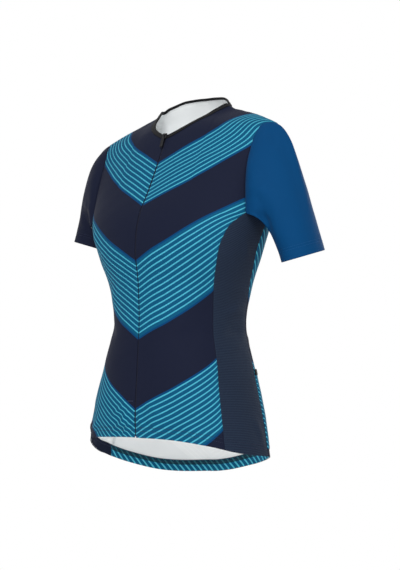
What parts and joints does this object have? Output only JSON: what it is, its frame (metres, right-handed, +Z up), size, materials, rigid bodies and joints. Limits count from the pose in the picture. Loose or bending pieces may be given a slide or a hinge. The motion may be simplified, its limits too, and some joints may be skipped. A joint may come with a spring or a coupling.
{
  "type": "triathlon top",
  "caption": "Short-sleeved fitted sports top, empty and open as worn: front zip, bound neck, side panels, set-in sleeves, rear pocket and a dropped back hem.",
  "frame": {"origin": "on the middle line at the height of the points where the shoulder seams meet the neck, where the wearer or a form holds it up", "axes": "+Z up along the body, the front faces -Y, +X towards the wearer's left"},
  "size_m": [0.5162, 0.2244, 0.6695],
  "materials": {
    "front_print": null,
    "back_print": null,
    "side_mesh": "navy open knit, matt",
    "sleeve_blue": "plain mid-blue knit, matt",
    "sleeve_navy": "plain navy knit, matt",
    "elastic_binding": "black folded elastic, matt",
    "zip_tape": "woven navy tape",
    "facing_print": "teal pinstriped knit, matt",
    "slider_enamel": "black enamelled zinc, satin",
    "pull_rubber": "black moulded rubber, satin"
  },
  "bodies": {
    "garment": {"back": "back_print", "front_left": "front_print", "front_right": "front_print", "hem_facing": "facing_print", "neck_binding": "elastic_binding", "pocket": "back_print", "pocket_binding": "elastic_binding", "side_left": "side_mesh", "side_right": "side_mesh", "sleeve_left": "sleeve_blue", "sleeve_right": "sleeve_navy", "zip_slider": "slider_enamel", "zip_tape": "zip_tape"},
    "pull": {"zip_pull": "pull_rubber"}
  },
  "joints": [
    {"name": "pull_swing", "type": "hinge", "parent": "garment", "child": "pull", "pos_m": [0, -0.0616, -0.05878], "axis": [-1, 0, 0], "range_deg": [0, 150]}
  ]
}
